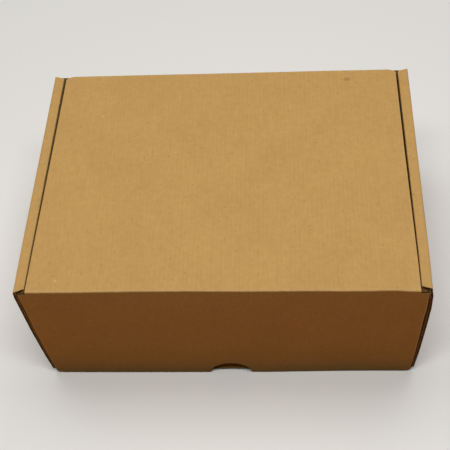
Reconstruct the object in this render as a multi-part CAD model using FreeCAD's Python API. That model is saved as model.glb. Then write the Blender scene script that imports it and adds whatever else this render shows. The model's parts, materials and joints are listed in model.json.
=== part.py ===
import FreeCAD, Part
import math
import os

os.makedirs("parts", exist_ok=True)

# A closed mailing box, folded from one die-cut sheet of thin corrugated board.
# Millimetres. The origin is the centre of the underside. X runs along the width, the front
# with its tuck flap faces -Y, and +Z is up.

# Outside of the closed box
width = 300.0
depth = 216.0
height = 131.0

# Board, creases and clearances
board = 1.6                 # thickness of the sheet
crease_inner = 0.4          # inside radius of a right-angled crease
layer_gap = 0.2             # between layers of the sheet that lie together
slide_gap = 0.3             # round everything that moves with the front flap

# Lid
lid_gap_front = 1.3         # from the lid's cut side edge to the inner wall, at the front
lid_gap_back = 2.7          # the same at the back, so the lid tapers
lid_round_run = 8.0         # rounded back corner of the lid, along the back edge
lid_round_drop = 2.5        # the same corner, towards the front

# Front flap and its ears
flap_play = 1.9             # from the inside of the flap to the front wall
flap_lift = 0.5             # lower edge above the surface that the box stands on
flap_corner = 7.5           # radius of the two lower corners
flap_shoulder = 2.8         # drop of the cut top edges at both ends of the flap
notch_width = 34.0
notch_height = 13.7
notch_lip = 2.0             # small radius at both ends of the notch
ear_length = 60.0
ear_rise = 16.0             # slope of the ear's lower edge, over its length
ear_fall = 8.0              # slope of the ear's top edge, over its length
ear_corner = 12.0

# Walls
dust_length = 95.0          # dust flaps at the ends of the front and back walls
dust_slope = 8.0            # slope of their top and bottom edges, over their length
dust_corner = 10.0
dust_lift = 1.0             # their lower edge above the base
ledge_slant_front = 3.3     # the ledge's front end slants back by this, over its width
ledge_slant_back = 2.5
wall_toe = 0.6              # height of the outer wall's lower corners above the surface

# Lock tabs of the inner side walls
tab_length = 40.0
tab_spacing = 110.0
tab_count = 2
tab_corner = 1.0
slot_gap = 0.3              # round a tab in its slot

# Half sizes, and the layers of a side wall from the outside in
half_w = width / 2
half_d = depth / 2
crease = crease_inner + board
flap_inside = half_d - board
wall_front = flap_inside - flap_play
ear_side = half_w - board - slide_gap
dust_side = ear_side - board - slide_gap
roll_side = dust_side - board - layer_gap
cavity_side = roll_side - board
crease_top = height - crease
lid_under = height - board
wall_top = crease_top - layer_gap
lid_half_front = cavity_side - lid_gap_front
lid_half_back = cavity_side - lid_gap_back

X = FreeCAD.Vector(1, 0, 0)
Y = FreeCAD.Vector(0, 1, 0)
Z = FreeCAD.Vector(0, 0, 1)


def at(x, y, z):
    return FreeCAD.Vector(x, y, z)


def box(x_span, y_span, z_span):
    """Block between two values of x, y and z."""
    low = [min(span) for span in (x_span, y_span, z_span)]
    size = [max(span) - min(span) for span in (x_span, y_span, z_span)]
    return Part.makeBox(*size, at(*low))


def outline(points, place):
    """Closed wire through (u, v) or (u, v, radius) points, with those corners rounded."""
    corners = []
    for index, point in enumerate(points):
        here = place(*point[:2])
        radius = point[2] if len(point) == 3 else 0.0
        if radius == 0.0:
            corners.append((here, here, None))
            continue
        before = place(*points[index - 1][:2]) - here
        after = place(*points[(index + 1) % len(points)][:2]) - here
        half = before.getAngle(after) / 2
        before.normalize()
        after.normalize()
        reach = radius / math.tan(half)
        middle = here + (before + after).normalize() * (radius / math.sin(half) - radius)
        corners.append((here + before * reach, here + after * reach, middle))
    edges = []
    for index, (start, end, middle) in enumerate(corners):
        if middle:
            edges.append(Part.Arc(start, middle, end).toShape())
        following = corners[(index + 1) % len(corners)][0]
        if (following - end).Length > 1e-6:
            edges.append(Part.makeLine(end, following))
    return Part.Wire(edges)


def plan_panel(points, low, high):
    """Level piece with its outline in X and Y."""
    wire = outline(points, lambda x, y: at(x, y, low))
    return Part.Face(wire).extrude(Z * (high - low))


def side_panel(points, inner, outer):
    """Upright piece on the +X side with its outline in Y and Z."""
    wire = outline(points, lambda y, z: at(inner, y, z))
    return Part.Face(wire).extrude(X * (outer - inner))


def bend(centre, along, first, second):
    """Quarter ring of board round a crease, from its side `first` to its side `second`."""
    diagonal = (first + second) * math.sqrt(0.5)

    def arc(radius):
        ends = (centre + first * radius, centre + second * radius)
        return Part.Arc(ends[0], centre + diagonal * radius, ends[1]).toShape()

    def cut_edge(side):
        return Part.makeLine(centre + side * crease_inner, centre + side * crease)

    edges = [arc(crease), cut_edge(second), arc(crease_inner), cut_edge(first)]
    wire = Part.Wire(Part.__sortEdges__(edges))
    return Part.Face(wire).extrude(along)


def both_sides(pieces):
    """The pieces of the +X side, and their mirror images."""
    return pieces + [piece.mirror(at(0, 0, 0), X) for piece in pieces]


def joined(pieces):
    return pieces[0].fuse(pieces[1:]).removeSplitter()


def tab_places():
    middle = (tab_count - 1) / 2
    return [(index - middle) * tab_spacing for index in range(tab_count)]


def base():
    """Bottom panel with the slots that the lock tabs drop into."""
    panel = box((crease - half_w, half_w - crease), (crease - wall_front, half_d - crease), (0, board))
    slots = []
    for place in tab_places():
        reach = tab_length / 2 + slot_gap
        sides = (cavity_side - slot_gap, roll_side + slot_gap)
        slots.append(box(sides, (place - reach, place + reach), (0, board)))
    return panel.cut(both_sides(slots))


def dust_flap(face_side, root, direction):
    """Flap at the end of the front or back wall, turned into the hollow side wall."""
    low = board + dust_lift
    high = wall_top - dust_lift
    tip = root + direction * (dust_length - crease)
    points = [
        (root, low),
        (tip, low + dust_slope, dust_corner),
        (tip, high - dust_slope, dust_corner),
        (root, high),
    ]
    flap = side_panel(points, face_side - board, face_side)
    turn = bend(at(face_side - crease, root, low), Z * (high - low), X, Y * -direction)
    return [flap, turn]


def front_wall():
    """Wall behind the front flap, creased to the base, with its dust flaps."""
    half = dust_side - crease
    root = crease - wall_front
    panel = box((-half, half), (-wall_front, board - wall_front), (crease, wall_top))
    foot = bend(at(-half, root, crease), X * (2 * half), Y * -1, Z * -1)
    return [panel, foot] + both_sides(dust_flap(dust_side, root, 1))


def back_wall():
    """Back wall, creased to the base and to the lid, with its dust flaps."""
    half = ear_side - crease
    root = half_d - crease
    panel = box((-half, half), (half_d - board, half_d), (crease, wall_top))
    neck = lid_half_back - lid_round_run
    panel = panel.fuse(box((-neck, neck), (half_d - board, half_d), (wall_top, crease_top)))
    foot = bend(at(-half, root, crease), X * (2 * half), Y, Z * -1)
    return [panel, foot] + both_sides(dust_flap(ear_side, root, -1))


def rolled_side():
    """Outer wall, ledge and inner wall of the +X side, rolled over the dust flaps."""
    foot_span = (crease - wall_front, half_d - crease)
    foot = bend(at(half_w - crease, foot_span[0], crease), Y * (foot_span[1] - foot_span[0]), X, Z * -1)
    outer = side_panel(
        [
            (-half_d, wall_toe), (foot_span[0], wall_toe), (foot_span[0], crease),
            (foot_span[1], crease), (foot_span[1], wall_toe), (half_d, wall_toe),
            (half_d, crease_top), (-half_d, crease_top),
        ],
        half_w - board, half_w,
    )
    ends = (layer_gap + board - wall_front, half_d - board - layer_gap)
    inner = box((cavity_side, roll_side), ends, (board + layer_gap, crease_top))
    roll = [
        bend(at(half_w - crease, -half_d, crease_top), Y * depth, X, Z),
        box((cavity_side + crease, half_w - crease), (-half_d, half_d), (lid_under, height)),
        bend(at(cavity_side + crease, -half_d, crease_top), Y * depth, X * -1, Z),
    ]
    slanted = plan_panel(
        [
            (half_w, -half_d), (half_w, half_d),
            (cavity_side, half_d - ledge_slant_back), (cavity_side, ledge_slant_front - half_d),
        ],
        crease_top, height,
    )
    return [foot, outer, inner] + [piece.common(slanted) for piece in roll] + lock_tabs()


def lock_tabs():
    """Tabs of the inner side wall, standing in the slots of the base."""
    tabs = []
    for place in tab_places():
        ends = (place - tab_length / 2, place + tab_length / 2)
        points = [
            (ends[0], board + layer_gap), (ends[0], slot_gap, tab_corner),
            (ends[1], slot_gap, tab_corner), (ends[1], board + layer_gap),
        ]
        tabs.append(side_panel(points, cavity_side, roll_side))
    return tabs


def lid_outline():
    """The lid seen from above: tapered, with rounded back corners, out to the front crease."""
    run = lid_round_run
    drop = lid_round_drop
    radius = (run * run + drop * drop) / (2 * drop)
    turn = math.atan2(run, radius - drop)
    middle = at(math.sin(turn / 2) * radius, radius - math.cos(turn / 2) * radius, 0)
    right = [
        at(lid_half_back - run, half_d, 0),
        at(lid_half_back - run + middle.x, half_d - middle.y, 0),
        at(lid_half_back, half_d - drop, 0),
        at(lid_half_front, -flap_inside, 0),
    ]
    left = [at(-point.x, point.y, 0) for point in right]
    return Part.Wire([
        Part.Arc(*right[:3]).toShape(),
        Part.makeLine(right[2], right[3]),
        Part.makeLine(right[3], left[3]),
        Part.makeLine(left[3], left[2]),
        Part.Arc(left[2], left[1], left[0]).toShape(),
        Part.makeLine(left[0], right[0]),
    ])


def lid():
    """Lid with its crease to the back wall. Its front end is hollowed round the flap's crease."""
    half = half_w
    panel = box((-half, half), (-flap_inside, half_d - crease), (lid_under, height))
    turn = bend(at(-half, half_d - crease, crease_top), X * width, Y, Z)
    seen_from_above = Part.Face(lid_outline())
    seen_from_above.translate(Z * crease_top)
    sheet = panel.fuse(turn).common(seen_from_above.extrude(Z * crease))
    hollow = Part.makeCylinder(board + slide_gap, width, at(-half, -flap_inside, lid_under), X)
    return sheet.cut(hollow)


def notch():
    """Thumb notch: an arc that runs out into the lower edge through two small radii."""
    half = notch_width / 2
    radius = (half * half + notch_height * notch_height) / (2 * notch_height)
    centre = flap_lift + notch_height - radius
    lip = flap_lift + notch_lip
    lip_x = math.sqrt((radius + notch_lip) ** 2 - (lip - centre) ** 2)
    toward = at(lip_x, 0, lip - centre).normalize()
    touch = at(0, 0, centre) + toward * radius
    bottom = at(lip_x, 0, flap_lift)
    bulge = (touch + bottom) * 0.5 - at(lip_x, 0, lip)
    bulge = at(lip_x, 0, lip) + bulge.normalize() * notch_lip
    below = at(lip_x, 0, 0)

    def mirrored(point):
        return at(-point.x, point.y, point.z)

    top = at(0, 0, flap_lift + notch_height)
    wire = Part.Wire([
        Part.makeLine(mirrored(below), mirrored(bottom)),
        Part.Arc(mirrored(bottom), mirrored(bulge), mirrored(touch)).toShape(),
        Part.Arc(mirrored(touch), top, touch).toShape(),
        Part.Arc(touch, bulge, bottom).toShape(),
        Part.makeLine(bottom, below),
        Part.makeLine(below, mirrored(below)),
    ])
    face = Part.Face(wire)
    face.translate(Y * -half_d)
    return face.extrude(Y * board)


def ear():
    """Ear of the +X side, between the outer wall and the dust flap, with its crease."""
    root = crease - half_d
    low = flap_lift + flap_corner
    high = height - flap_shoulder
    tip = root + ear_length
    points = [
        (root, low),
        (tip, low + ear_rise, ear_corner),
        (tip, high - ear_fall, ear_corner),
        (root, high),
    ]
    panel = side_panel(points, ear_side - board, ear_side)
    turn = bend(at(ear_side - crease, root, flap_lift), Z * (high - flap_lift), X, Y * -1)
    return [panel, turn]


def flap_corner_waste():
    """What the rounded lower corner of the +X side takes off the flap and its ear crease."""
    centre_x = ear_side - flap_corner
    centre_z = flap_lift + flap_corner
    block = box((centre_x, ear_side), (-half_d, crease - half_d), (flap_lift, centre_z))
    kept = Part.makeCylinder(flap_corner, crease, at(centre_x, -half_d, centre_z), Y)
    return block.cut(kept)


def front_flap():
    """Front flap with its ears, its notch and the rounded crease that it turns on."""
    half = ear_side - crease
    neck = lid_half_front
    shoulder = height - flap_shoulder
    panel = box((-half, half), (-half_d, -flap_inside), (flap_lift, shoulder))
    panel = panel.fuse(box((-neck, neck), (-half_d, -flap_inside), (shoulder, lid_under)))
    knuckle = Part.makeCylinder(board, 2 * neck, at(-neck, -flap_inside, lid_under), X)
    upper_half = box((-neck, neck), (-half_d, half_d), (lid_under, height))
    sheet = joined([panel, knuckle.common(upper_half)] + both_sides(ear()))
    return sheet.cut(both_sides([flap_corner_waste()]) + [notch()])


def folded_box():
    """All of the sheet but the front flap."""
    sides = both_sides(rolled_side())
    return joined([base()] + front_wall() + back_wall() + sides + [lid()])


for name, shape in (("folded_box", folded_box()), ("front_flap", front_flap())):
    shape.exportStep(f"parts/{name}.step")
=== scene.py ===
import json
import math

import bmesh
import bpy
from bpy.props import FloatProperty, FloatVectorProperty, PointerProperty
from mathutils import Matrix, Vector, noise


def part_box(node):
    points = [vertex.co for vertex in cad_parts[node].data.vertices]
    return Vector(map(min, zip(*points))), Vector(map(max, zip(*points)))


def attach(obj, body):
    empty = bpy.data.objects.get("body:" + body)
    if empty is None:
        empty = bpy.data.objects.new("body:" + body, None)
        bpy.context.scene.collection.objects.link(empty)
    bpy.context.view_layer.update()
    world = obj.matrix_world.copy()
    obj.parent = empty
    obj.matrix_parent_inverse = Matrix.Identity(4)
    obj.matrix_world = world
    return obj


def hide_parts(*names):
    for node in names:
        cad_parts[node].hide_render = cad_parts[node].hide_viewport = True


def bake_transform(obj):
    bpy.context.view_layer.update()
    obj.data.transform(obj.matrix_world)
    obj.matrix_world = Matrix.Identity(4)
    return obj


bl_info = {
    "name": "Folded Mailing Box",
    "version": (1, 0, 0),
    "blender": (4, 5, 0),
    "location": "3D View > Sidebar > Mailing Box",
    "description": "Folds a sheet of corrugated board round the packed frame of a closed mailing box",
    "category": "Add Mesh",
}

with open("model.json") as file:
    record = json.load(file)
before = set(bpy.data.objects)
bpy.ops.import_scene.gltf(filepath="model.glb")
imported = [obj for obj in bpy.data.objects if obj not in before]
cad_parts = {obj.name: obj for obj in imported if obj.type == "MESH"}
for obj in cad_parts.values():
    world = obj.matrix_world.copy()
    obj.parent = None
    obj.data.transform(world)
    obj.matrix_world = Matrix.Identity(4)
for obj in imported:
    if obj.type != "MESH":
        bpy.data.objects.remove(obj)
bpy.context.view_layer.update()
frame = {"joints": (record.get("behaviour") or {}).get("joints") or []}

# Sizes that the frame gives, in metres
_, box_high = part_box("folded_box")
flap_low, flap_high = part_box("front_flap")
hinge = Vector(frame["joints"][0]["pos_m"])
HALF_W = box_high.x
HALF_D = box_high.y
HEIGHT = box_high.z
BOARD = HEIGHT - hinge.z
EAR_SIDE = flap_high.x
EAR_TIP = flap_high.y
FLAP_LIFT = flap_low.z
SLIDE_GAP = HALF_W - BOARD - EAR_SIDE
DUST_SIDE = EAR_SIDE - BOARD - SLIDE_GAP

MM = 0.001
TAU = 2 * math.pi
SKIN, CUT = 0, 1            # material of the board's faces, and of its cut edges
OUTER_WALL = HALF_W - BOARD - 0.1 * MM

# How finely the mesh follows creases, round corners and flutes
CREASE_STEPS = 12
CORNER_STEPS = 8
LIP_STEPS = 6
WING_COLUMNS = 30
FLUTE_STEPS = 8
SHARP_CORNER = 0.6
SMOOTH_ANGLE = math.radians(38)

# Where the worn box departs from true
FRONT_REACH = 14 * MM       # the front crease's wear fades this far behind and below it
FOOT_SHARE = 0.6            # the side walls draw in below this share of the height
LEAN_SHARE = 0.8            # the right wall leans in above this share of the height
RIGHT_FLARE = 0.5           # the right wall draws in less than the left one
LEFT_SPREAD = 0.9           # the left wall's front edge stands out a little less than the right's
WANDER_SEED = 1             # all pieces stray from true alike, and by the same in every run

# Where its local wear lies: the start and end of a ramp, or the middle and reach of a swell
SPREAD_FOOT = 35 * MM       # an outer wall's front edge comes out over this height above its crease
SPREAD_TOP = 5 * MM         # and goes back over this height below the ledge
FLAP_SIDES = (141 * MM, 145 * MM)
LEFT_SIDE = (141.7 * MM, 145.7 * MM)
RIGHT_PINCH = (80 * MM, 35 * MM)
LEFT_PINCH = (100 * MM, 25 * MM)
LEFT_SWELL = (20 * MM, 30 * MM)
TUCKED = (10 * MM, 120 * MM)
BOWED = (-38 * MM, 48 * MM)
DENTED = (95 * MM, 17 * MM)
CRUSHED = (129 * MM, 6 * MM)

# How much further out than true each side of the lid lies at its front and at its back, and how
# far it draws in between them
LID_LEFT = (0.23 * MM, -0.75 * MM, 0.1 * MM)
LID_RIGHT = (-0.1 * MM, -0.7 * MM, 0.35 * MM)

# Studio
AIR = (1.0, 0.975, 0.93)
AIR_LEVEL = 0.76
AIM = Vector((0.0, 0.0, 0.08))
LENS = 69.658
CAMERA_SPOT = Vector((0.04474, -0.41710, 0.65738))
CAMERA_DOWN, CAMERA_TURN, CAMERA_ROLL = (math.radians(angle) for angle in (54.911, -6.774, 6.247))


def length(name, description, default):
    """A length of the box, set in metres and shown in the scene's unit."""
    return FloatProperty(
        name=name, description=description, default=default, min=0.0, subtype="DISTANCE", unit="LENGTH"
    )


def colour(name, description, default):
    return FloatVectorProperty(
        name=name, description=description, default=default, size=3, min=0.0, max=1.0, subtype="COLOR"
    )


def amount(name, description, default, high=1.0):
    return FloatProperty(name=name, description=description, default=default, min=0.0, max=high)


class BoardSizes(bpy.types.PropertyGroup):
    """The corrugated board and how it creases."""

    crease: length("Crease", "Outside radius of a right-angled crease", 1.7 * MM)
    bulge: length("Crease bulge", "How far the paper stands out at the middle of a crease", 0.26 * MM)
    liner: length("Liner", "Thickness of the paper on each face", 0.2 * MM)
    medium: length("Medium", "Thickness of the fluted paper between the liners", 0.17 * MM)
    pitch: length("Flute pitch", "From one flute to the next", 3.4 * MM)
    hollow: length("Flute depth", "How far one sees into the flutes at a cut edge", 4.5 * MM)
    layer_gap: length("Layer gap", "Between layers of the sheet that lie together", 0.2 * MM)
    cell: length("Cell", "Largest cell of the mesh on flat board", 4.0 * MM)


class BoxSizes(bpy.types.PropertyGroup):
    """The panels of the sheet, apart from what the frame gives."""

    flap_play: length("Flap play", "From the inside of the front flap to the front wall", 1.2 * MM)
    shoulder: length("Shoulder", "Drop of the cut top edges at both ends of the flap", 2.8 * MM)
    flap_corner: length("Flap corner", "Radius of the flap's lower corners", 5.5 * MM)
    notch_width: length("Notch width", "Width of the thumb notch at the flap's lower edge", 34.0 * MM)
    notch_height: length("Notch height", "Height of the thumb notch", 16.5 * MM)
    notch_lip: length("Notch lip", "Small radius at both ends of the notch", 2.0 * MM)
    ear_rise: length("Ear rise", "Slope of an ear's lower edge, over its length", 16.0 * MM)
    ear_fall: length("Ear fall", "Slope of an ear's top edge, over its length", 8.0 * MM)
    ear_corner: length("Ear corner", "Radius of an ear's free corners", 12.0 * MM)
    lid_gap_front: length("Lid gap, front", "From the lid's side to the inner wall, at the front", 1.05 * MM)
    lid_gap_back: length("Lid gap, back", "The same at the back", 2.4 * MM)
    lid_run: length("Lid corner run", "Rounded back corner of the lid, along the back edge", 11.0 * MM)
    lid_drop: length("Lid corner drop", "The same corner, towards the front", 3.4 * MM)
    toe: length("Toe", "How far the outer wall's lower front corner is cut up", 7.0 * MM)
    setback: length("Ledge setback", "How far the right ledge's front end stands back", 2.2 * MM)
    dust_length: length("Dust flap", "Length of the dust flaps", 95.0 * MM)
    dust_slope: length("Dust flap slope", "Slope of their top and lower edges", 8.0 * MM)
    dust_corner: length("Dust flap corner", "Radius of their free corners", 10.0 * MM)
    dust_lift: length("Dust flap lift", "Their lower edge above the base", 1.0 * MM)
    ledge_front: length("Ledge slant, front", "How far the ledge's front end slants back", 3.3 * MM)
    ledge_back: length("Ledge slant, back", "How far the ledge's back end slants forward", 2.5 * MM)
    tab_length: length("Tab length", "Lock tabs of the inner walls", 40.0 * MM)
    tab_spacing: length("Tab spacing", "From one lock tab to the next", 110.0 * MM)
    slot_gap: length("Slot gap", "Round a lock tab in its slot", 0.3 * MM)
    flare: length("Flare", "How much the side walls draw in at the base", 2.3 * MM)
    inset: length("Inset", "How far the walls stand inside the box's full width and depth", 1.1 * MM)
    widen: length("Widened side", "How far the left side stands out towards the front", 0.85 * MM)
    spread: length("Spread", "How far the right outer wall's front edge stands out from its ear", 0.5 * MM)
    pinch: length("Pinch", "How far the flap's right edge lies away from the outer wall", 0.75 * MM)
    slack: length("Slack", "How far the front wall bows inwards behind the flap", 2.5 * MM)
    lean: length("Lean", "How far the right wall's top front corner leans in", 1.3 * MM)
    spring: length("Spring", "How far the inner walls stand inwards at the top", 0.5 * MM)
    tuck: length("Tucked corner", "How far the lower right of the front is pressed back", 1.2 * MM)
    sag: length("Crushed corner", "How far the right front corner of the lid is pressed down", 1.7 * MM)
    bow: length("Bowed crease", "How far the front crease lies back, left of its middle", 0.55 * MM)
    wander: length("Wander", "How far the crease and the panels stray from true", 0.22 * MM)


class Finish(bpy.types.PropertyGroup):
    """Colours of the board."""

    kraft: colour("Kraft", "Paper of both faces", (0.505, 0.292, 0.090))
    # Colour of the cut edges, darkened partly by painted shade of the flutes and gaps
    raw: colour("Cut edge", "Cut edges of the paper", (0.21, 0.105, 0.029))
    # Painted shade: a near-black colour for the back of the flute hollows, where shade falls
    hollow: colour("Flute hollow", "Inside of the flutes", (0.048, 0.021, 0.005))
    # Pale colour of paper worn by rubbing, also laid on as a painted highlight along the ear creases and the
    # notch's rim
    rubbed: colour("Rubbed paper", "Paper that is rubbed along a crease", (0.62, 0.47, 0.29))
    stain: colour("Stain", "Brown smudge and dark specks on the lid", (0.30, 0.14, 0.05))
    fleck: colour("Fleck", "Pale specks on the lid", (0.68, 0.52, 0.30))
    mottle: amount("Mottle", "Strength of the uneven colour of the paper", 0.75, 4.0)
    fibre: amount("Fibre", "Strength of the fibres in the paper", 1.0, 4.0)
    relief: amount("Relief", "Height of the paper's bump", 1.0, 4.0)


class Studio(bpy.types.PropertyGroup):
    """Floor, lamps and camera."""

    floor: colour("Floor", "Pale floor", (0.86, 0.84, 0.80))
    bounce: colour("Floor bounce", "Light that the floor sends back at the box", (0.415, 0.152, 0.002))
    key: amount("Overhead lamp", "Power of the overhead lamp, in watts", 13.6, 500.0)
    front: amount("Front lamp", "Power of the lamp in front, in watts", 16.8, 500.0)
    fill: amount("Fill", "Strength of the light from all round", 0.02, 2.0)


board = sizes = finish = studio = None


class Fold:
    """A strip of board seen from its cut side: straight stretches and quarter turns of its outer
    face. The strip's inner face lies to the left of the way that it runs."""

    def __init__(self, start, heading):
        self.marks = [0.0]
        self.stretches = []
        self.point = Vector(start)
        self.heading = Vector(heading)

    @staticmethod
    def left(way):
        return Vector((-way.y, way.x))

    def straight(self, reach):
        self.stretches.append((self.point.copy(), self.heading.copy(), None))
        self.point = self.point + self.heading * reach
        self.marks.append(self.marks[-1] + reach)
        return self

    def turn(self, radius):
        self.stretches.append((self.point.copy(), self.heading.copy(), radius))
        self.point = self.point + (self.heading + self.left(self.heading)) * radius
        self.heading = self.left(self.heading)
        self.marks.append(self.marks[-1] + radius * math.pi / 2)
        return self

    def at(self, s):
        """Point of the outer face, and the way to the inner face."""
        index = 0
        while index < len(self.stretches) - 1 and s > self.marks[index + 1]:
            index += 1
        point, heading, radius = self.stretches[index]
        run = s - self.marks[index]
        inward = self.left(heading)
        if radius is None:
            return point + heading * run, inward
        centre = point + inward * radius
        angle = run / radius
        inward = inward * math.cos(angle) - heading * math.sin(angle)
        return centre - inward * (radius + board.bulge * math.sin(2 * angle) ** 2), inward

    def rows(self, start, end, extra=()):
        """Values of s from start to end, close together on the creases."""
        knots = {start, end, *extra}
        for (_, _, radius), low, high in zip(self.stretches, self.marks, self.marks[1:]):
            if radius is not None:
                knots.update(low + (high - low) * k / CREASE_STEPS for k in range(CREASE_STEPS + 1))
                knots.update((low - radius, high + radius))
        inside = sorted({round(knot, 9) for knot in knots if start - 1e-9 <= knot <= end + 1e-9})
        return stops(inside, board.cell)

    def creased(self, s):
        """1 on a crease, fading to 0 beside it."""
        near = 0.0
        for (_, _, radius), start, end in zip(self.stretches, self.marks, self.marks[1:]):
            if radius is not None:
                gap = max(start - s, s - end, 0.0)
                near = max(near, 1.0 - gap / radius)
        return near


def swell(value, centre, reach):
    """1 at the centre, fading to 0 over about twice the reach."""
    return math.exp(-((value - centre) / reach) ** 2)


def ramp(value, start, end):
    """0 before the start, 1 past the end, and straight between them."""
    return min(1.0, max(0.0, (value - start) / (end - start)))


def eased(share):
    """A share from 0 to 1, with a gentle start and end."""
    return share * share * (3 - 2 * share)


def spread_out(x, y, z):
    """How far the free front edge of an outer wall stands out at a point."""
    if abs(x) < OUTER_WALL:
        return 0.0
    low, high = board.crease, HEIGHT - board.crease
    ends = min(ramp(z, low, low + SPREAD_FOOT), ramp(z, high, high - SPREAD_TOP))
    reach = sizes.spread * eased(ends) * ramp(-y, 20 * MM, HALF_D) ** 2
    return reach if x > 0 else -LEFT_SPREAD * reach


def pinched(x, y, z):
    """How far the flap's edges and its ears lie away from the outer walls at a point."""
    if abs(x) > OUTER_WALL:
        return 0.0
    reach = sizes.pinch * ramp(abs(x), *FLAP_SIDES) * swell(y, -HALF_D, FRONT_REACH)
    if x > 0:
        return -reach * swell(z, *RIGHT_PINCH)
    return reach * (0.6 * swell(z, *LEFT_PINCH) - 0.3 * swell(z, *LEFT_SWELL))


def settled(point):
    """A point of the true folded shape, moved to where worn board lies: the side walls draw in
    towards the base, the front crease waves and its right corner is pressed down."""
    x, y, z = point
    level = ramp(z, 0.0, HEIGHT)
    ahead = ramp(-y, -HALF_D, HALF_D)
    low = ramp(level, FOOT_SHARE, 0.0) ** 1.5
    if x > 0:
        draw = RIGHT_FLARE * sizes.flare * low + sizes.lean * ahead * ramp(level, LEAN_SHARE, 1.0)
    else:
        draw = sizes.flare * low - sizes.widen * ahead * ramp(-x, *LEFT_SIDE)
    slow = noise.noise_vector(Vector((x, y, z)) * 11.0)
    quick = noise.noise_vector(Vector((x, y, z)) * 43.0)
    stray = (slow * 0.75 + quick * 0.25) * sizes.wander
    front = swell(y, -HALF_D, FRONT_REACH)
    front_crease = front * swell(z, HEIGHT, FRONT_REACH)
    tucked = sizes.tuck * eased(ramp(x, *TUCKED)) * (1.0 - level) * front
    bowed = sizes.bow * swell(x, *BOWED) * front_crease
    pressed = 0.5 + 0.5 * math.tanh((x - CRUSHED[0]) / CRUSHED[1])
    dent = sizes.sag * (0.45 * swell(x, *DENTED) + pressed) * front_crease
    spare = sizes.wander + board.bulge / 4
    aside = spread_out(x, y, z) + pinched(x, y, z)
    return Vector((
        x * (1.0 - (spare + sizes.inset + draw) / HALF_W) + stray.x + aside,
        y * (1.0 - (spare + sizes.inset) / HALF_D) + stray.y + bowed + tucked,
        max(0.0, z * (1.0 - spare / HEIGHT) + stray.z * min(1.0, z / (30 * MM)) - dent),
    ))


def nowhere(s, c):
    return False


def unworn(s, c):
    return 0.0


def at_root(s, c):
    """The crease by which a flap or a wall hangs on its panel."""
    return s < 1e-7


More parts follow.
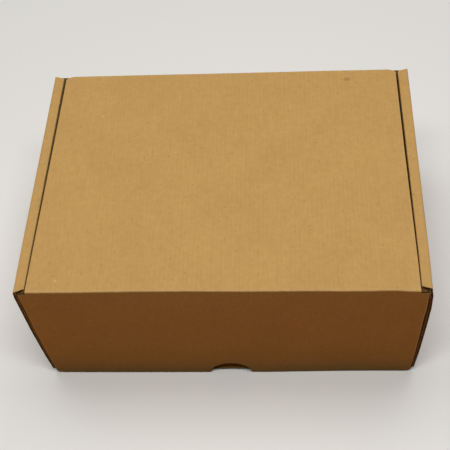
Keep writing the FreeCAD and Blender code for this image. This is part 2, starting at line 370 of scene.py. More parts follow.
class Sheet:
    """Folded board in a mesh: a grid on the flat pattern, where s runs along the fold and c across
    it, with an outer face, an inner face and cut edges that show the flutes."""

    def __init__(self, name):
        noise.seed_set(WANDER_SEED)
        self.name = name
        self.mesh = bmesh.new()
        self.pattern = self.mesh.loops.layers.uv.new("pattern")
        # One layer marks worn creases and the pale rub and painted highlight beside creases and cut edges
        self.wear_and_highlight = self.mesh.verts.layers.float.new("wear_and_highlight")
        # The deep layer marks the back of the flute hollows, which cut_board darkens as painted shade
        self.deep = self.mesh.verts.layers.float.new("deep")

    def lay(
        self, fold, place, nodes, gone, joined, flutes_across,
        origin=(0.0, 0.0), worn=1.0, rubbed=unworn,
    ):
        """Adds the cells between the nodes[row][column] = (s, c). gone(s, c) leaves a cell out, and
        joined(s, c) leaves its edge open, because another panel goes on from there. worn is how
        worn the creases are, and the function after it gives the pale rub and painted highlight
        beside a crease to another panel or along a cut edge."""
        self.fold, self.place, self.worn, self.rubbed = fold, place, worn, rubbed
        self.flutes_across, self.origin = flutes_across, origin
        self.verts = {}
        ways = [place(*way) - place(0, 0, 0) for way in ((1, 0, 0), (0, 1, 0), (0, 0, 1))]
        self.flip = ways[0].cross(ways[1]).dot(ways[2]) < 0
        rows, columns = len(nodes), len(nodes[0])
        cells = set()
        for i in range(rows - 1):
            for j in range(columns - 1):
                four = (nodes[i][j], nodes[i][j + 1], nodes[i + 1][j + 1], nodes[i + 1][j])
                middle = [sum(n[k] for n in four) / 4 for k in (0, 1)]
                if not gone(*middle):
                    cells.add((i, j))
        steps = ((0, 0, 0, 1, -1, 0), (0, 1, 1, 1, 0, 1), (1, 1, 1, 0, 1, 0), (1, 0, 0, 0, 0, -1))
        cuts = {}
        for i, j in cells:
            for di, dj, ei, ej, ni, nj in steps:
                start, end = (i + di, j + dj), (i + ei, j + ej)
                if (i + ni, j + nj) in cells:
                    continue
                a, b = nodes[start[0]][start[1]], nodes[end[0]][end[1]]
                if joined((a[0] + b[0]) / 2, (a[1] + b[1]) / 2):
                    continue
                cuts[start] = end
        dense = self.cut_edges(nodes, cuts)
        for i, j in cells:
            flat = []
            for di, dj, ei, ej, _, _ in steps:
                start = (i + di, j + dj)
                end = (i + ei, j + ej)
                flat += dense.get((start, end), [nodes[start[0]][start[1]]])
            for depth in (0.0, 1.0):
                self.face([(s, c, depth) for s, c in flat], SKIN, depth == 0.0)

    def face(self, corners, material, turned):
        """One face through (s, c, depth) corners, where depth runs from 0 outside to 1 inside."""
        verts, used = [], []
        for corner in corners:
            vert = self.vert(*corner)
            if vert not in verts:
                verts.append(vert)
                used.append(corner)
        if len(verts) < 3:
            return
        if turned != self.flip:
            verts.reverse()
            used.reverse()
        try:
            made = self.mesh.faces.new(verts)
        except ValueError:
            return
        made.material_index = material
        made.smooth = True
        for loop, (s, c, depth, *_) in zip(made.loops, used):
            u, v = (c, s) if self.flutes_across else (s, c)
            shift, rise = self.origin
            loop[self.pattern].uv = (u + shift + depth * 0.6, v + rise + depth * BOARD)

    def vert(self, s, c, depth, deep=0.0):
        key = (round(s, 7), round(c, 7), round(depth, 4))
        if key not in self.verts:
            point, inward = self.fold.at(s)
            point = point + inward * (depth * BOARD)
            vert = self.mesh.verts.new(settled(self.place(point.x, point.y, c)))
            # The larger of the creases' wearing and the pale rub with painted highlight beside a crease or
            # cut edge
            vert[self.wear_and_highlight] = max(self.worn * self.fold.creased(s), self.rubbed(s, c))
            vert[self.deep] = deep
            self.verts[key] = vert
        return self.verts[key]

    def cut_edges(self, nodes, cuts):
        """Cut edges along the runs of sides in cuts. Gives the flat points along each side."""
        dense = {}
        ends = set(cuts.values())
        starts = [start for start in cuts if start not in ends]
        left = dict(cuts)
        while left:
            start = starts.pop() if starts else next(iter(left))
            run = [start]
            while run[-1] in left:
                run.append(left.pop(run[-1]))
            if run[0] == run[-1]:
                run = self.from_corner(nodes, run)
            self.cut_run(nodes, run, dense)
        return dense

    @staticmethod
    def from_corner(nodes, run):
        """A closed run, turned so that it starts at its sharpest corner."""
        loop = run[:-1]
        spots = [Vector((nodes[i][j][1], nodes[i][j][0])) for i, j in loop]
        turns = []
        for k, here in enumerate(spots):
            after = spots[(k + 1) % len(spots)]
            turns.append((here - spots[k - 1]).angle(after - here, 0.0))
        first = turns.index(max(turns))
        return loop[first:] + loop[:first + 1]

    def cut_run(self, nodes, run, dense):
        """The cut edge along one run. Near a sharp corner one sees less deep into the flutes."""
        spots = [Vector((nodes[i][j][1], nodes[i][j][0])) for i, j in run]
        closed = run[0] == run[-1]
        ways = [(b - a).normalized() for a, b in zip(spots, spots[1:])]
        inner, sharp = [], []
        for k in range(len(spots)):
            before = ways[k - 1] if k > 0 else (ways[-1] if closed else ways[0])
            after = ways[k] if k < len(ways) else (ways[0] if closed else ways[-1])
            way = before + after
            turn = before.angle(after, 0.0)
            sharp.append(turn > SHARP_CORNER)
            way = way.normalized() if way.length > 1e-6 else after
            inner.append(Vector((-way.y, way.x)) / max(0.5, math.cos(turn / 2)))
        reach = [math.inf] * len(spots)
        for order in (range(len(spots)), range(len(spots) - 1, -1, -1)):
            run_length, last = math.inf, None
            for k in order:
                if last is not None:
                    run_length += (spots[k] - spots[last]).length
                if sharp[k]:
                    run_length = 0.0
                reach[k] = min(reach[k], run_length)
                last = k
        for k, (a, b) in enumerate(zip(spots, spots[1:])):
            across = abs(ways[k].x if self.flutes_across else ways[k].y)
            count = max(1, math.ceil(across * (b - a).length / (board.pitch / FLUTE_STEPS)))
            samples = []
            for m in range(count + 1):
                t = m / count
                spot = a.lerp(b, t)
                into = inner[k].lerp(inner[k + 1], t)
                deep = board.hollow * (0.2 + 0.8 * across)
                room = min(reach[k] + (spot - a).length, reach[k + 1] + (b - spot).length)
                samples.append((spot, into * min(deep, room * 0.6)))
            dense[(run[k], run[k + 1])] = [(spot.y, spot.x) for spot, _ in samples[:-1]]
            for first, second in zip(samples, samples[1:]):
                self.cut_cell(first, second)

    def cut_cell(self, first, second):
        """One short length of a cut edge: liner, hollow, medium, hollow, liner."""
        liner = board.liner / BOARD
        half = board.medium / BOARD / 2
        swing = 0.5 - liner - half
        layers = []
        for spot, into in (first, second):
            along = spot.x + self.origin[0] if self.flutes_across else spot.y + self.origin[0]
            wave = 0.5 + swing * 0.94 * math.sin(TAU * along / board.pitch)
            depths = (0.0, liner, wave - half, wave + half, 1.0 - liner, 1.0)
            front = [(spot.y, spot.x, depth) for depth in depths]
            # The back of each hollow is marked deep, for painted shade inside the flutes
            back = [(spot.y + into.y, spot.x + into.x, depth, 1.0) for depth in depths]
            layers.append((front, back))
        (front_a, back_a), (front_b, back_b) = layers
        for k in (0, 2, 4):
            self.face([front_a[k], front_b[k], front_b[k + 1], front_a[k + 1]], CUT, False)
        for k in (1, 3):
            self.face([back_a[k], back_b[k], back_b[k + 1], back_a[k + 1]], CUT, False)
            self.face([front_a[k], front_b[k], back_b[k], back_a[k]], CUT, False)
            self.face([back_a[k + 1], back_b[k + 1], front_b[k + 1], front_a[k + 1]], CUT, False)

    def finished(self):
        """The mesh as an object that stands in the scene."""
        bmesh.ops.remove_doubles(self.mesh, verts=self.mesh.verts, dist=1e-7)
        data = bpy.data.meshes.new(self.name)
        self.mesh.to_mesh(data)
        self.mesh.free()
        for material in (kraft_liner(), cut_board()):
            data.materials.append(material)
        data.set_sharp_from_angle(angle=SMOOTH_ANGLE)
        piece = bpy.data.objects.new(self.name, data)
        bpy.context.scene.collection.objects.link(piece)
        return piece


def span(start, end, step):
    """Evenly spaced values from start to end, no further apart than step."""
    count = max(1, math.ceil(abs(end - start) / step - 1e-6))
    return [start + (end - start) * k / count for k in range(count + 1)]


def stops(knots, step):
    """Values through all the knots, no further apart than step between them."""
    values = [knots[0]]
    for start, end in zip(knots, knots[1:]):
        values += span(start, end, step)[1:]
    return values


def both_ways(half):
    """A list of values from the middle outwards, and the same on the other side."""
    return [-value for value in reversed(half) if value > 0] + half


def wall_front():
    return HALF_D - BOARD - sizes.flap_play


def wall_top():
    return HEIGHT - board.crease - board.layer_gap


def roll_side():
    return DUST_SIDE - BOARD - board.layer_gap


def cavity_side():
    return roll_side() - BOARD


def spine():
    """The sheet from the front wall's top, under the base, up the back, over the lid and down the
    front flap, in y and z."""
    crease = board.crease
    upright = HEIGHT - 2 * crease
    fold = Fold((-wall_front(), wall_top()), (0.0, -1.0))
    fold.straight(wall_top() - crease).turn(crease)
    fold.straight(wall_front() + HALF_D - 2 * crease).turn(crease)
    fold.straight(upright).turn(crease)
    fold.straight(2 * HALF_D - 2 * crease).turn(crease)
    fold.straight(HEIGHT - crease - FLAP_LIFT)
    return fold


def spine_place(y, z, x):
    return Vector((x, y, z))


def notch_shape():
    """The notch's radius, and how far from its middle its arc ends and its rounded lip ends."""
    half, high, lip = sizes.notch_width / 2, sizes.notch_height, sizes.notch_lip
    radius = (half ** 2 + high ** 2) / (2 * high)
    lip_end = math.sqrt((radius + lip) ** 2 - (lip - high + radius) ** 2)
    return radius, lip_end * radius / (radius + lip), lip_end


def notch_edge(x):
    """Height of the flap's lower edge at x: the thumb notch and its two small radii."""
    radius, arc_end, lip_end = notch_shape()
    lip = sizes.notch_lip
    x = abs(x)
    if x >= lip_end:
        return FLAP_LIFT
    if x > arc_end:
        return FLAP_LIFT + lip - math.sqrt(max(0.0, lip ** 2 - (lip_end - x) ** 2))
    return FLAP_LIFT + sizes.notch_height - radius + math.sqrt(radius ** 2 - x ** 2)


def flap_edge(x):
    """Height of the lower edge of the flap and its ear creases at x."""
    corner = sizes.flap_corner
    past = abs(x) - (EAR_SIDE - corner)
    if past > 0:
        return FLAP_LIFT + corner - math.sqrt(corner ** 2 - min(past, corner) ** 2)
    return notch_edge(x)


def notch_columns():
    """Half of the flap's columns, close together where the notch turns."""
    radius, arc_end, lip_end = notch_shape()
    lip = sizes.notch_lip
    end = math.asin(arc_end / radius)
    columns = [radius * math.sin(end * k / CREASE_STEPS) for k in range(CREASE_STEPS + 1)]
    start = math.acos(min(1.0, (lip_end - arc_end) / lip))
    turn = (math.pi / 2 - start) / LIP_STEPS
    return columns + [lip_end - lip * math.cos(start + turn * k) for k in range(1, LIP_STEPS + 1)]


def lid_half(point, c):
    """Half width of the lid at a point of its outer face, on the side of c."""
    y = point.x
    front_out, back_out, belly = LID_RIGHT if c > 0 else LID_LEFT
    front = cavity_side() - sizes.lid_gap_front + front_out
    back = cavity_side() - sizes.lid_gap_back + back_out
    if y < BOARD - HALF_D:
        return front
    run, drop = sizes.lid_run, sizes.lid_drop
    radius = (run ** 2 + drop ** 2) / (2 * drop)
    if y > HALF_D - drop:
        rise = HALF_D - y
        return back - run + math.sqrt(max(0.0, radius ** 2 - (radius - rise) ** 2))
    share = (HALF_D - drop - y) / (2 * HALF_D - drop - BOARD)
    return back + (front - back) * share - belly * math.sin(math.pi * share)


def dust_span():
    """Lower and upper end of the dust flaps' creases."""
    return BOARD + sizes.dust_lift, wall_top() - sizes.dust_lift


class BOX_OT_lid_and_flap(bpy.types.Operator):
    """Fold the back wall, the lid and the front flap, which bends at the front crease"""

    bl_idname = "mailing_box.lid_and_flap"
    bl_label = "Lid and Front Flap"

    def execute(self, context):
        fold = spine()
        marks = fold.marks
        crease = board.crease
        shoulder = HEIGHT - sizes.shoulder
        neck_end = marks[4] + wall_top() - crease
        flap_zero = marks[8] + HEIGHT - crease
        flap_top = flap_zero - shoulder
        dust_ends = [marks[4] + z - crease for z in dust_span()]
        rounding = [marks[6] + (sizes.lid_drop - crease) * k / 4 for k in (1, 2, 3, 4)]
        rows = fold.rows(marks[3], flap_top, [neck_end, *dust_ends, *rounding])
        half = EAR_SIDE - crease
        neck = cavity_side() - sizes.lid_gap_front
        corner = EAR_SIDE - sizes.flap_corner
        columns = notch_columns()
        knots = sorted({columns[-1], corner, neck, half - crease, half})
        columns += stops([knot for knot in knots if knot <= neck], board.cell)[1:]
        columns += stops([knot for knot in knots if knot >= neck], 1.2 * MM)[1:]
        columns = both_ways(columns)
        nodes = []
        for s in rows:
            point, _ = fold.at(s)
            line = []
            for c in columns:
                width = lid_half(point, c)
                if abs(c) <= neck:
                    line.append((s, c * width / neck))
                else:
                    share = (abs(c) - neck) / (half - neck)
                    line.append((s, math.copysign(width + (half - width) * share, c)))
            nodes.append(line)
        for share in span(0.0, 0.99, board.cell / shoulder)[1:] + [1.0]:
            line = []
            for c in columns:
                bottom = flap_zero - flap_edge(c)
                line.append((flap_top + (bottom - flap_top) * share, c))
            nodes.append(line)

        def gone(s, c):
            return neck_end < s < flap_top and abs(c) > lid_half(fold.at(s)[0], c)

        def joined(s, c):
            if s <= marks[3] + 1e-7:
                return True
            side = abs(c) >= half - 1e-6
            return side and (s > flap_top or dust_ends[0] < s < dust_ends[1])

        # Painted highlight along the flap's lower edge, strongest round the thumb notch's rim, with some
        # pale rub
        def rubbed(s, c):
            rim = flap_zero - flap_edge(c)
            return (0.9 if abs(c) < 0.6 * sizes.notch_width else 0.3) * swell(s, rim, 0.8 * MM)

        sheet = Sheet("lid_and_front_flap")
        sheet.lay(fold, spine_place, nodes, gone, joined, True, worn=0.4, rubbed=rubbed)
        piece = sheet.finished()
        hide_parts("folded_box", "front_flap")
        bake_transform(piece)
        return {"FINISHED"}


def wing_nodes(fold, crease_ends, root_ends, slopes, corner):
    """Nodes of an ear or a dust flap: its crease between crease_ends(s), then a flap that starts
    between root_ends, narrows by the two slopes and has rounded free corners."""
    bend_end, end = fold.marks[1], fold.marks[2]
    rows = fold.rows(0.0, end - corner)
    turn = math.pi / 2 / CORNER_STEPS
    rows += [end - corner + corner * math.sin(turn * k) for k in range(1, CORNER_STEPS + 1)]
    nodes = []
    for s in rows:
        if s <= bend_end + 1e-8:
            low, high = crease_ends(s)
        else:
            share = (s - bend_end) / (end - bend_end)
            past = max(0.0, s - (end - corner))
            rounding = corner - math.sqrt(max(0.0, corner ** 2 - past ** 2))
            low = root_ends[0] + slopes[0] * share + rounding
            high = root_ends[1] - slopes[1] * share - rounding
        nodes.append([(s, low + (high - low) * k / WING_COLUMNS) for k in range(WING_COLUMNS + 1)])
    return nodes


class BOX_OT_ears(bpy.types.Operator):
    """Fold the two ears of the front flap, which turn back into the hollow side walls"""

    bl_idname = "mailing_box.ears"
    bl_label = "Flap Ears"

    def execute(self, context):
        crease = board.crease
        start = EAR_SIDE - crease
        fold = Fold((start, -HALF_D), (1.0, 0.0)).turn(crease).straight(EAR_TIP + HALF_D - crease)
        top = HEIGHT - sizes.shoulder

        def crease_ends(s):
            return flap_edge(fold.at(s)[0].x), top

        root_ends = (FLAP_LIFT + sizes.flap_corner, top)
        slopes = (sizes.ear_rise, sizes.ear_fall)
        nodes = wing_nodes(fold, crease_ends, root_ends, slopes, sizes.ear_corner)

        # Painted highlight along the ear crease, where side light catches the rounded paper, with some pale
        # rub
        def rubbed(s, c):
            return swell(s, 0.9 * MM, 0.7 * MM)

        sheet = Sheet("flap_ears")
        for side in (1, -1):
            def place(x, y, z, side=side):
                return Vector((side * x, y, z))
            sheet.lay(fold, place, nodes, nowhere, at_root, False, (start, 0.3), 0.0, rubbed)
        piece = sheet.finished()
        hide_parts("front_flap")
        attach(piece, "front_flap")
        return {"FINISHED"}


class BOX_OT_dust_flaps(bpy.types.Operator):
    """Fold the dust flaps of the front and back walls, inside the hollow side walls"""

    bl_idname = "mailing_box.dust_flaps"
    bl_label = "Dust Flaps"

    def execute(self, context):
        crease = board.crease

        sheet = Sheet("dust_flaps")
        for outside, wall, ahead in ((DUST_SIDE, -wall_front(), 1), (EAR_SIDE, HALF_D, -1)):
            start = outside - crease
            fold = Fold((start, 0.0), (1.0, 0.0)).turn(crease).straight(sizes.dust_length - crease)
            slopes = (sizes.dust_slope, sizes.dust_slope)
            nodes = wing_nodes(fold, lambda s: dust_span(), dust_span(), slopes, sizes.dust_corner)
            for side in (1, -1):
                def place(x, y, z, side=side, wall=wall, ahead=ahead):
                    return Vector((side * x, wall + ahead * y, z))
                sheet.lay(fold, place, nodes, nowhere, at_root, False, (start, 0.6))
        piece = sheet.finished()
        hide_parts("folded_box")
        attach(piece, "box")
        return {"FINISHED"}


def tab_ends(play):
    """Ends of the two lock tabs or their slots along y, from front to back."""
    middle = sizes.tab_spacing / 2
    reach = sizes.tab_length / 2 + play
    return [-middle - reach, -middle + reach, middle - reach, middle + reach]


def in_tabs(y, play):
    ends = tab_ends(play)
    return ends[0] < y < ends[1] or ends[2] < y < ends[3]


class BOX_OT_base(bpy.types.Operator):
    """Fold the front wall and the base with its slots for the lock tabs"""

    bl_idname = "mailing_box.base"
    bl_label = "Base and Front Wall"

    def execute(self, context):
        fold = spine()
        marks = fold.marks
        crease = board.crease
        wall_half = DUST_SIDE - crease
        slot = (cavity_side() - sizes.slot_gap, roll_side() + sizes.slot_gap)
        base_half = HALF_W - board.crease
        base_front = fold.at(marks[2])[0].x
        slots = [marks[2] + y - base_front for y in tab_ends(sizes.slot_gap)]
        dust_ends = [wall_top() - z for z in reversed(dust_span())]
        rows = fold.rows(0.0, marks[3], dust_ends + slots)
        inner = span(0.0, slot[0], board.cell)
        nodes = []
        for s in rows:
            edge = wall_half if s <= marks[2] else slot[1]
            nodes.append([(s, c) for c in both_ways(inner + [edge, base_half])])

        def gone(s, c):
            if s < marks[2]:
                return abs(c) > wall_half
            return slot[0] < abs(c) < slot[1] and in_tabs(s - marks[2] + base_front, sizes.slot_gap)

        def joined(s, c):
            if s < marks[2]:
                return abs(c) >= wall_half - 1e-6 and dust_ends[0] < s < dust_ends[1]
            return abs(c) >= base_half - 1e-6 or s >= marks[3] - 1e-7

        def place(y, z, x):
            """The front wall bows inwards a little above its crease."""
            if y > crease - wall_front() or z <= crease:
                return Vector((x, y, z))
            upwards = 1.0 - math.exp((crease - z) / (12 * MM))
            downwards = 1.0 - math.exp((z - wall_top()) / (30 * MM))
            bow = sizes.slack * upwards * max(0.0, downwards) * (1.0 - (x / wall_half) ** 2)
            return Vector((x, y + bow, z))

        sheet = Sheet("base_and_front_wall")
        sheet.lay(fold, place, nodes, gone, joined, True)
        piece = sheet.finished()
        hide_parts("folded_box")
        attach(piece, "box")
        return {"FINISHED"}


class BOX_OT_rolled_sides(bpy.types.Operator):
    """Roll both side walls: outer wall, ledge, inner wall and lock tabs"""

    bl_idname = "mailing_box.rolled_sides"
    bl_label = "Rolled Sides"

    def execute(self, context):
        crease = board.crease
        ledge = HALF_W - cavity_side()
        fold = Fold((HALF_W - crease, 0.0), (1.0, 0.0)).turn(crease).straight(HEIGHT - 2 * crease)
        fold.turn(crease).straight(ledge - 2 * crease).turn(crease)
        fold.straight(HEIGHT - crease - BOARD - board.layer_gap)
        fold.straight(BOARD + board.layer_gap - sizes.slot_gap)
        marks = fold.marks
        front, back = crease - wall_front(), HALF_D - crease
        middle = stops([front] + tab_ends(0.0) + [back], board.cell)[:-1]
        foot = marks[1] / 2

        def raised(s, c):
            """Rise of the outer wall's lower front corner."""
            if c >= front or not foot - 1e-6 < s < marks[2]:
                return 0.0
            return sizes.toe * (front - c) / (front + HALF_D) * (marks[2] - s) / (marks[2] - foot)

        def nodes(setback):
            lines = []
            for s in fold.rows(0.0, marks[7], [marks[6], marks[2] - 2 * crease]):
                slant = (HALF_W - fold.at(s)[0].x) / ledge if s > marks[2] else 0.0
                near = min(1.0, max(0.0, 1.0 - (marks[2] - s) / (3 * crease)))
                low = -HALF_D + (sizes.ledge_front - setback / 2) * slant + setback * near ** 2
                low = min(low, front - 0.3 * MM) if s > marks[4] else low
                high = HALF_D - sizes.ledge_back * slant
                inset = back - slant * MM
                start = max(front, low + 0.3 * MM)
                line = span(low, start, (start - low) / 4)[:-1] + [start] + middle[1:]
                line += span(inset, high, (high - inset) / 2)
                lines.append([(s + raised(s, c), c) for c in line])
            return lines

        def gone(s, c):
            if s > marks[6]:
                return not in_tabs(c, 0.0)
            cut_up = 0.75 * raised(foot, c)
            return (s < foot + cut_up or s > marks[5]) and not front < c < back - MM

        sheet = Sheet("rolled_sides")
        for side in (1, -1):
            def place(x, z, y, side=side):
                behind = 1.0 + y / HALF_D
                behind = 1.0 + 0.8 * behind if side > 0 else behind
                inwards = sizes.spring * behind * z / HEIGHT * (HALF_W - x) / ledge
                return Vector((side * (x - inwards), y, z))
            lines = nodes(sizes.setback if side > 0 else 0.0)
            sheet.lay(fold, place, lines, gone, at_root, False, (HALF_W - crease, 0.0), worn=0.2)
        piece = sheet.finished()
        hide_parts("folded_box")
        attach(piece, "box")
        return {"FINISHED"}


class Link:
    """A socket's value in an expression. Adding, multiplying and the like add Math nodes."""

    def __init__(self, shader, socket):
        self.shader = shader
        self.socket = socket

    def math(self, operation, *values):
        return self.shader.node("ShaderNodeMath", {"operation": operation}, dict(enumerate(values)))

    def absolute(self):
        return self.math("ABSOLUTE", self)

    def sine(self):
        return self.math("SINE", self)

    def larger(self, other):
        return self.math("MAXIMUM", self, other)

    def __add__(self, other):
        return self.math("ADD", self, other)

    __radd__ = __add__

    def __sub__(self, other):
        return self.math("SUBTRACT", self, other)

    def __rsub__(self, other):
        return self.math("SUBTRACT", other, self)

    def __mul__(self, other):
        return self.math("MULTIPLY", self, other)

    __rmul__ = __mul__

    def above(self, edge, soft):
        """0 below edge - soft, 1 above edge + soft, smooth between."""
        values = {"Value": self, "From Min": edge - soft, "From Max": edge + soft}
        return self.shader.node("ShaderNodeMapRange", {"interpolation_type": "SMOOTHSTEP"}, values)


class Shader:
    """A material or a world whose nodes are written as expressions."""

    def __init__(self, owner, output="ShaderNodeOutputMaterial"):
        self.owner = owner
        owner.use_nodes = True
        self.tree = owner.node_tree
        self.tree.nodes.clear()
        self.output = self.tree.nodes.new(output)

    def node(self, kind, settings=None, values=None, out=0):
        """A node of any kind: its settings first, then the values or links of its sockets."""
        made = self.tree.nodes.new(kind)
        for name, setting in (settings or {}).items():
            setattr(made, name, setting)
        for name, value in (values or {}).items():
            if isinstance(value, Link):
                self.tree.links.new(value.socket, made.inputs[name])
            else:
                made.inputs[name].default_value = value
        return Link(self, made.outputs[out])

    def surface(self, shader):
        self.tree.links.new(shader.socket, self.output.inputs["Surface"])

    def flat(self):
        """Coordinates on the sheet's flat pattern, in metres."""
        return self.node("ShaderNodeUVMap", {"uv_map": "pattern"})

    def pattern(self, across, along, shift=0.0):
        """The flat pattern's coordinates, scaled across and along the flutes."""
        return self.node(
            "ShaderNodeMapping", None,
            {"Vector": self.flat(), "Scale": (across, along, 1.0), "Location": (shift, shift * 0.7, 0.0)},
        )

    def noise(self, vector, scale, detail=2.0, rough=0.5, distortion=0.0):
        """Noise between 0 and 1, centred on 0.5."""
        return self.node(
            "ShaderNodeTexNoise", {"noise_dimensions": "2D"},
            {
                "Vector": vector, "Scale": scale, "Detail": detail,
                "Roughness": rough, "Distortion": distortion,
            },
        )

    def grey(self, tone):
        """A grey that is as bright as a number."""
        return self.node("ShaderNodeCombineColor", None, {0: tone, 1: tone, 2: tone})

    def mix(self, factor, first, second, way="MIX"):
        """Two colours mixed."""
        settings = {"data_type": "RGBA", "blend_type": way, "clamp_factor": True}
        values = {0: factor, 6: tint(first), 7: tint(second)}
        return self.node("ShaderNodeMix", settings, values, out=2)

    def blend(self, factor, first, second):
        """Two shaders mixed."""
        return self.node("ShaderNodeMixShader", None, {0: factor, 1: first, 2: second})

    def bump(self, height, distance, strength=1.0):
        values = {"Height": height, "Distance": distance, "Strength": strength}
        return self.node("ShaderNodeBump", None, values)


def tint(value):
    return value if isinstance(value, Link) or len(value) == 4 else (*value, 1.0)


def scaled(tone, factor):
    return tuple(part * factor for part in tone)


def once(make):
    """Makes a material the first time it is asked for."""

    def ready():
        found = bpy.data.materials.get(make.__name__)
        return found or make()
    return ready


def paper(shader, kraft):
    """Colour and relief of kraft paper: clouds, mottle and fibres."""
    plain = shader.pattern(1.0, 1.0)
    clouds = shader.noise(plain, 22.0, 3.0, 0.55)
    mottle = shader.noise(plain, 210.0, 4.0, 0.6)
    grain = shader.noise(plain, 900.0, 3.0, 0.65)
    streak = shader.noise(shader.pattern(1.0, 0.12, 3.1), 480.0, 2.0, 0.5)
    long_fibre = shader.noise(shader.pattern(0.18, 1.0, 5.3), 1700.0, 2.0, 0.6, 1.2)
    cross_fibre = shader.noise(shader.pattern(1.0, 0.22, 8.7), 1500.0, 2.0, 0.6, 1.4)
    tone = 1.0 + ((clouds - 0.5) * 0.16 + (mottle - 0.5) * 0.26 + (grain - 0.5) * 0.20) * finish.mottle
    tone = tone + (streak - 0.5) * (0.10 * finish.mottle)
    threads = long_fibre.above(0.66, 0.07) - cross_fibre.above(0.68, 0.06)
    tone = tone + threads * (0.10 * finish.fibre)
    warm = shader.noise(shader.pattern(1.0, 1.0, 12.9), 60.0, 2.0, 0.5)
    base = shader.mix(warm, scaled(kraft, 0.97), (kraft[0] * 1.02, kraft[1] * 1.035, kraft[2] * 1.10))
    base = shader.mix(1.0, base, shader.grey(tone), "MULTIPLY")
    height = mottle * 0.5 + grain * 0.3 + long_fibre * 0.35 + cross_fibre * 0.25
    return base, height


def spot(shader, centre, radii, ragged):
    """1 in a ragged oval patch round a place on the flat pattern."""
    near = shader.node(
        "ShaderNodeMapping", {"vector_type": "TEXTURE"},
        {"Vector": shader.flat(), "Location": (*centre, 0.0), "Scale": (*radii, 1.0)},
    )
    far = shader.node("ShaderNodeVectorMath", {"operation": "LENGTH"}, {0: near}, out=1)
    edge = shader.noise(shader.pattern(1.0, 1.0, centre[0] * 40.0), 700.0, 3.0, 0.6)
    return 1.0 - (far + (edge - 0.5) * ragged).above(0.8, 0.35)


def lid_spot(x, y):
    """Place on the flat pattern of a point of the lid."""
    return x, spine().marks[6] + HALF_D - board.crease - y


@once
def kraft_liner():
    """Brown kraft paper, paler along the creases from rubbing, with a painted highlight along the ear
    creases and the notch's rim, faint painted shade across the flutes and a few marks on the lid.
    """
    shader = Shader(bpy.data.materials.new("kraft_liner"))
    base, height = paper(shader, tuple(finish.kraft))
    uneven = shader.noise(shader.pattern(1.0, 0.02, 1.7), 2.0, 1.0)
    across = shader.node("ShaderNodeSeparateXYZ", None, {0: shader.flat()})
    # Faint painted shade across the flutes: the colour dips and rises with the flutes' washboard, which the
    # bump below also shapes
    flutes = (across * (TAU / board.pitch) + uneven * 0.8).sine()
    base = shader.mix(1.0, base, shader.grey(flutes * 0.012 + 1.0), "MULTIPLY")
    # Creases paler from rubbing, and a painted highlight along the ear creases and the notch's rim
    wear_and_highlight = shader.node("ShaderNodeAttribute", {"attribute_name": "wear_and_highlight"}, None, out=2)
    scuff = shader.noise(shader.pattern(1.0, 1.0, 20.3), 380.0, 3.0, 0.65)
    rubbed = (wear_and_highlight * (scuff * 0.9 + 0.35)).above(0.5, 0.3) * 0.6
    base = shader.mix(rubbed, base, tuple(finish.rubbed))
    specks = shader.node(
        "ShaderNodeTexVoronoi", {"voronoi_dimensions": "2D"},
        {"Vector": shader.pattern(1.0, 1.0, 30.1), "Scale": 85.0, "Randomness": 1.0}, out=0,
    )
    rare = shader.noise(shader.pattern(1.0, 1.0, 41.0), 90.0, 1.0)
    dark = (1.0 - specks.above(0.055, 0.02)) * rare.above(0.56, 0.04)
    base = shader.mix(dark * 0.45, base, tuple(finish.stain))
    smudge = spot(shader, lid_spot(0.099, 0.097), (3.4 * MM, 2.6 * MM), 1.3)
    base = shader.mix(smudge * 0.55, base, tuple(finish.stain))
    for x, y, radius, strength, tone in (
        (-0.043, -0.088, 0.8 * MM, 0.5, finish.stain),
        (0.037, 0.055, 0.7 * MM, 0.5, finish.stain),
        (-0.103, 0.061, 0.8 * MM, 0.55, finish.fleck),
        (-0.121, -0.098, 1.1 * MM, 0.4, finish.fleck),
    ):
        mark = spot(shader, lid_spot(x, y), (radius, radius), 1.0)
        base = shader.mix(mark * strength, base, tuple(tone))
    rough = 0.80 + (shader.noise(shader.pattern(1.0, 1.0, 50.5), 120.0) - 0.5) * 0.16
    normal = shader.bump(height + flutes * 0.28, 0.09 * MM * finish.relief, 0.55)
    shader.surface(shader.node(
        "ShaderNodeBsdfPrincipled", None,
        {"Base Color": base, "Roughness": rough, "Normal": normal, "Specular IOR Level": 0.28},
    ))
    return shader.owner


@once
def cut_board():
    """Cut edges of the board: bare cut fibre in a colour darkened partly by painted shade, with painted
    shade inside the flutes.
    """
    shader = Shader(bpy.data.materials.new("cut_board"))
    # The cut-edge colour carries painted shade as well as the paper's own tone
    base, height = paper(shader, tuple(finish.raw))
    torn = shader.noise(shader.pattern(1.0, 1.0, 61.7), 1300.0, 3.0, 0.7)
    base = shader.mix(torn.above(0.58, 0.12) * 0.4, base, scaled(tuple(finish.raw), 0.62))
    # Painted shade: the back of the flute hollows takes the dark hollow colour
    deep = shader.node("ShaderNodeAttribute", {"attribute_name": "deep"}, None, out=2)
    base = shader.mix(deep.above(0.1, 0.1), base, tuple(finish.hollow))
    normal = shader.bump(torn + height, 0.12 * MM, 0.7)
    shader.surface(shader.node(
        "ShaderNodeBsdfPrincipled", None,
        {"Base Color": base, "Roughness": 0.9, "Normal": normal, "Specular IOR Level": 0.2},
    ))
    return shader.owner


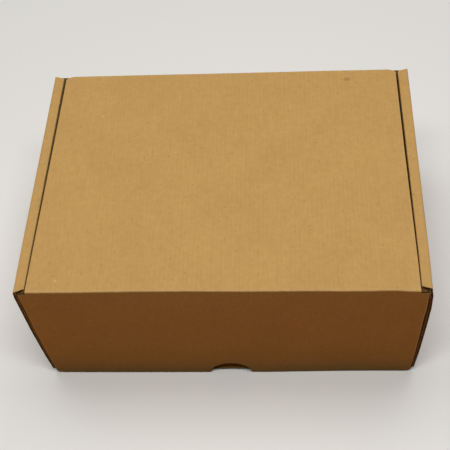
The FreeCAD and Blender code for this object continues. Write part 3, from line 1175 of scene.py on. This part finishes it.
def floor_material():
    """Pale floor that keeps the box's shadow. What it sends back at the box is warmer and darker,
    and darkest from right beside the box. Far off, the camera sees it as pale as the air."""
    shader = Shader(bpy.data.materials.new("pale_floor"))
    seen = shader.node("ShaderNodeLightPath", None, None, out="Is Camera Ray")
    place = shader.node("ShaderNodeTexCoord", None, None, out="Object")
    cloud = shader.node("ShaderNodeTexNoise", None, {"Vector": place, "Scale": 3.0, "Detail": 2.0})
    pale = shader.mix(cloud, scaled(tuple(studio.floor), 0.985), tuple(studio.floor))
    x, y = (
        shader.node("ShaderNodeSeparateXYZ", None, {0: place}, out=axis).absolute() for axis in (0, 1)
    )
    beside = (x - HALF_W).larger(y - HALF_D).above(21 * MM, 9 * MM)
    shaded = scaled(tuple(studio.bounce), 0.04)
    warm = shader.mix(beside, shaded, tuple(studio.bounce))
    base = shader.mix(seen, warm, pale)
    lit = shader.node(
        "ShaderNodeBsdfPrincipled", None, {"Base Color": base, "Roughness": 1.0, "Specular IOR Level": 0.0},
    )
    glow = shader.node("ShaderNodeEmission", None, {"Color": tint(AIR), "Strength": AIR_LEVEL})
    away = shader.node("ShaderNodeVectorMath", {"operation": "LENGTH"}, {0: place}, out="Value")
    shader.surface(shader.blend(seen * away.above(0.95, 0.38), lit, glow))
    return shader.owner


def studio_air():
    """The air round the stage: as pale as the floor to the camera, and a faint fill on the box."""
    shader = Shader(bpy.data.worlds.new("studio_air"), "ShaderNodeOutputWorld")
    seen = shader.node("ShaderNodeLightPath", None, None, out="Is Camera Ray")
    fill = shader.node("ShaderNodeBackground", None, {"Color": tint(AIR), "Strength": studio.fill})
    pale = shader.node("ShaderNodeBackground", None, {"Color": tint(AIR), "Strength": AIR_LEVEL})
    shader.surface(shader.blend(seen, fill, pale))
    return shader.owner


def camera_place():
    """Above the front of the box, looking down and a little to the left, with a slight roll."""
    down, turn = CAMERA_DOWN, CAMERA_TURN
    ahead = Vector((math.sin(turn) * math.cos(down), math.cos(turn) * math.cos(down), -math.sin(down)))
    level = ahead.cross(Vector((0.0, 0.0, 1.0))).normalized()
    right = Matrix.Rotation(CAMERA_ROLL, 3, ahead) @ level
    facing = Matrix((right, right.cross(ahead), -ahead)).transposed().to_4x4()
    return Matrix.Translation(CAMERA_SPOT) @ facing


class BOX_OT_studio(bpy.types.Operator):
    """Make the floor, the soft lamps and the camera at the photograph's angle"""

    bl_idname = "mailing_box.studio"
    bl_label = "Floor, Lamps and Camera"

    def execute(self, context):
        scene = context.scene
        mesh = bmesh.new()
        bmesh.ops.create_grid(mesh, x_segments=8, y_segments=8, size=4.0)
        data = bpy.data.meshes.new("floor")
        mesh.to_mesh(data)
        mesh.free()
        data.materials.append(floor_material())
        floor = bpy.data.objects.new("floor", data)
        scene.collection.objects.link(floor)

        for name, place, size, energy in (
            ("overhead_softbox", (-0.05, 0.40, 1.65), (1.6, 0.8), studio.key),
            ("front_softbox", (0.05, -0.45, 1.70), (1.4, 0.3), studio.front),
        ):
            lamp = bpy.data.lights.new(name, "AREA")
            lamp.shape = "RECTANGLE"
            lamp.size, lamp.size_y = size
            lamp.energy = energy
            softbox = bpy.data.objects.new(name, lamp)
            facing = (AIM - Vector(place)).to_track_quat("-Z", "Y")
            softbox.matrix_world = Matrix.LocRotScale(Vector(place), facing, None)
            scene.collection.objects.link(softbox)

        scene.world = studio_air()
        scene.view_settings.view_transform = "Standard"

        camera = bpy.data.cameras.new("camera")
        camera.lens = LENS
        camera.sensor_width = 36.0
        camera.clip_start, camera.clip_end = 0.01, 20.0
        eye = bpy.data.objects.new("camera", camera)
        eye.matrix_world = camera_place()
        scene.collection.objects.link(eye)
        scene.camera = eye
        return {"FINISHED"}


class BOX_PT_panel(bpy.types.Panel):
    """Lists the pieces of the mailing box"""

    bl_idname = "BOX_PT_panel"
    bl_label = "Mailing Box"
    bl_space_type = "VIEW_3D"
    bl_region_type = "UI"
    bl_category = "Mailing Box"

    def draw(self, context):
        layout = self.layout
        for group in GROUPS:
            owner = getattr(context.scene, group)
            box = layout.box()
            for name in owner.__annotations__:
                box.prop(owner, name)
        for operator in OPERATORS:
            layout.operator(operator.bl_idname)


GROUPS = {
    "mailing_box_board": BoardSizes,
    "mailing_box_sizes": BoxSizes,
    "mailing_box_finish": Finish,
    "mailing_box_studio": Studio,
}
OPERATORS = (
    BOX_OT_base,
    BOX_OT_dust_flaps,
    BOX_OT_rolled_sides,
    BOX_OT_lid_and_flap,
    BOX_OT_ears,
    BOX_OT_studio,
)


def register():
    global board, sizes, finish, studio
    for kind in (*GROUPS.values(), *OPERATORS, BOX_PT_panel):
        bpy.utils.register_class(kind)
    for name, group in GROUPS.items():
        setattr(bpy.types.Scene, name, PointerProperty(type=group))
    board, sizes, finish, studio = (getattr(bpy.context.scene, name) for name in GROUPS)


def unregister():
    for name in GROUPS:
        delattr(bpy.types.Scene, name)
    for kind in reversed((*GROUPS.values(), *OPERATORS, BOX_PT_panel)):
        bpy.utils.unregister_class(kind)


def main():
    register()
    for operator in OPERATORS:
        group, name = operator.bl_idname.split(".")
        if getattr(getattr(bpy.ops, group), name)() != {"FINISHED"}:
            raise RuntimeError(f"{operator.bl_idname} did not finish")


if __name__ == "__main__":
    main()
